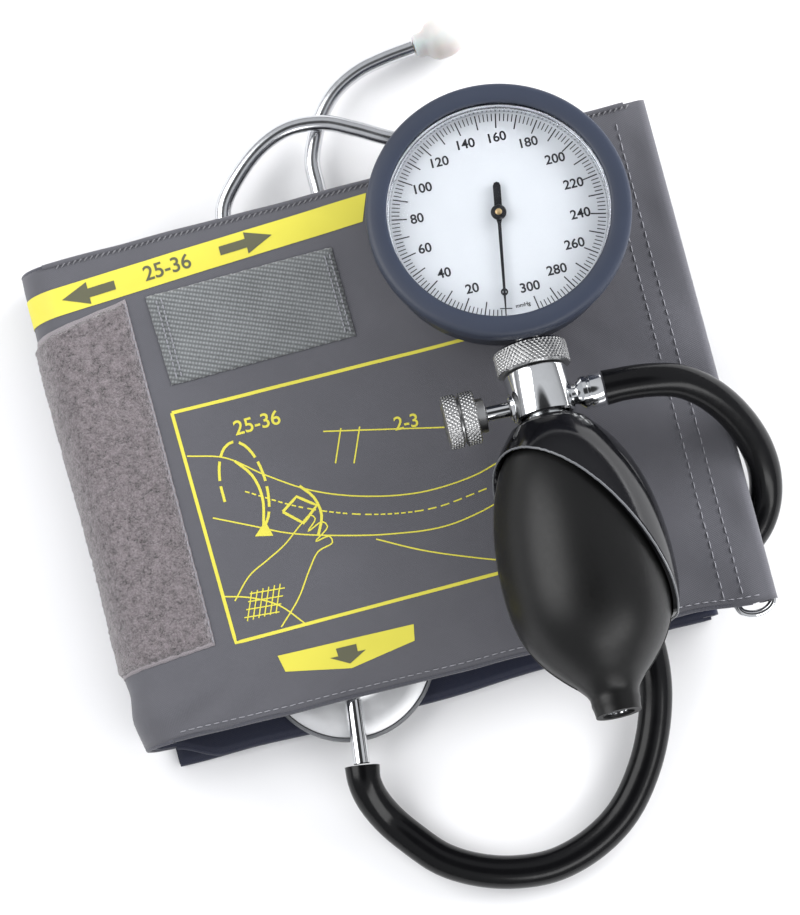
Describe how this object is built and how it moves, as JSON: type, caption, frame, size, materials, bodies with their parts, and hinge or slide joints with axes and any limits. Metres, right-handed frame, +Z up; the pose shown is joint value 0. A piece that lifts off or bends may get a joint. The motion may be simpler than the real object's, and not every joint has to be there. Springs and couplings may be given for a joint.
{
  "type": "upper arm blood pressure monitor",
  "caption": "Folded fabric arm cuff with a palm-held round dial pressure gauge, squeeze bulb, release valve, air hose and tucked-in stethoscope.",
  "frame": {"origin": "centre of the folded cuff's flat underside, on the surface it lies on", "axes": "+X along the folded cuff towards the ring end, +Y across the cuff towards the gauge's top, +Z up"},
  "size_m": [0.2001, 0.2562, 0.0737],
  "materials": {
    "outer_fabric": "fine woven nylon, matte",
    "lining_fabric": "smooth navy nylon",
    "bladder_rubber": "matte",
    "hook_fabric": "fuzzy loop pile",
    "webbing": "herringbone webbing",
    "chrome": "polished",
    "brass": "satin",
    "gauge_shell": "satin",
    "bumper_rubber": "soft matte",
    "clear_lens": "clear",
    "dial_paint": "satin white with black scale",
    "black_paint": "satin",
    "black_rubber": "smooth",
    "guard_plastic": "glossy",
    "chest_metal": "satin",
    "diaphragm_film": "satin film",
    "grey_rim": "satin",
    "ear_tip_plastic": "soft translucent white"
  },
  "bodies": {
    "cuff": {"cuff_outer_fabric": "outer_fabric", "cuff_lining": "lining_fabric", "bladder": "bladder_rubber", "hook_patch": "hook_fabric", "gauge_holder_band": "webbing", "metal_ring": "chrome", "bladder_port": "black_rubber", "chestpiece_body": "chest_metal", "diaphragm": "diaphragm_film", "diaphragm_ring": "grey_rim", "chestpiece_stem": "chrome", "stethoscope_tube": "black_rubber", "y_connector": "black_rubber", "air_hose": "black_rubber"},
    "hand_unit": {"gauge_case": "gauge_shell", "gauge_bumper": "bumper_rubber", "gauge_lens": "clear_lens", "dial_ring": "chrome", "dial_plate": "dial_paint", "gauge_stem": "brass", "aneroid_capsule": "brass", "capsule_inlet": "brass", "movement_plate": "brass", "movement_pillar_1": "brass", "movement_pillar_2": "brass", "movement_pillar_3": "brass", "movement_bridge": "brass", "hairspring": "brass", "valve_body": "chrome", "hose_nozzle": "chrome", "bulb": "black_rubber", "intake_valve_body": "brass", "outlet_valve_cage": "brass", "hand_guard": "guard_plastic"},
    "sector": {"sector_gear": "brass"},
    "needle": {"needle": "black_paint", "needle_hub": "brass", "needle_arbor": "brass"},
    "capsule_pin": {"capsule_pin": "brass"},
    "release_carriage": {"valve_seal": "black_rubber"},
    "release_knob": {"release_knob": "chrome", "release_spindle": "chrome"},
    "collar": {"knurled_collar": "chrome"},
    "intake_ball": {"intake_valve_ball": "chrome"},
    "outlet_disc": {"outlet_valve_disc": "black_rubber"},
    "ear_left": {"ear_tube_left": "chrome", "ear_tip_left": "ear_tip_plastic"},
    "ear_right": {"ear_tube_right": "chrome", "ear_tip_right": "ear_tip_plastic"}
  },
  "joints": [
    {"name": "hand_unit_lift", "type": "slide", "parent": "cuff", "child": "hand_unit", "axis": [0, 0, 1], "range_m": [0, 0.03]},
    {"name": "sector_turn", "type": "hinge", "parent": "hand_unit", "child": "sector", "pos_m": [0.04426, 0.06396, 0.03279], "axis": [0.0049, 0.1218, 0.9925], "range_deg": [0, 34.17], "stiffness_Nm_per_rad": 0.002},
    {"name": "needle_turn", "type": "hinge", "parent": "hand_unit", "child": "needle", "pos_m": [0.0436, 0.0476, 0.0348], "axis": [-0.0049, -0.1218, -0.9925], "range_deg": [0, 341.8]},
    {"name": "capsule_lift", "type": "slide", "parent": "hand_unit", "child": "capsule_pin", "axis": [0.0049, 0.1218, 0.9925], "range_m": [0, 0.0018]},
    {"name": "release_travel", "type": "slide", "parent": "hand_unit", "child": "release_carriage", "axis": [-0.9992, 0.0401, 0], "range_m": [0, 0.0012]},
    {"name": "release_turn", "type": "hinge", "parent": "release_carriage", "child": "release_knob", "pos_m": [0.04144, -0.00615, 0.0414], "axis": [-0.9992, 0.0401, 0], "range_deg": [0, 540]},
    {"name": "collar_turn", "type": "hinge", "parent": "hand_unit", "child": "collar", "pos_m": [0.0436, 0.0476, 0.0348], "axis": [0.0398, 0.9917, -0.1219], "range_deg": [0, 90]},
    {"name": "intake_ball_travel", "type": "slide", "parent": "hand_unit", "child": "intake_ball", "axis": [0.0398, 0.9917, -0.1219], "range_m": [0, 0.0008]},
    {"name": "outlet_disc_travel", "type": "slide", "parent": "hand_unit", "child": "outlet_disc", "axis": [0.0398, 0.9917, -0.1219], "range_m": [0, 0.0008]},
    {"name": "ear_left_spread", "type": "hinge", "parent": "cuff", "child": "ear_left", "pos_m": [-0.0146, 0.0381, 0.0118], "axis": [0, 0, 1], "range_deg": [0, 8], "stiffness_Nm_per_rad": 0.3},
    {"name": "ear_right_spread", "type": "hinge", "parent": "cuff", "child": "ear_right", "pos_m": [-0.0092, 0.0381, 0.0091], "axis": [0, 0, -1], "range_deg": [0, 8], "stiffness_Nm_per_rad": 0.3}
  ],
  "couplings": [
    {"joint": "needle_turn", "follows": "sector_turn", "ratio": 10},
    {"joint": "capsule_lift", "follows": "sector_turn", "m_per_rad": 0.003},
    {"joint": "release_turn", "follows": "release_travel", "rad_per_m": 7854}
  ]
}
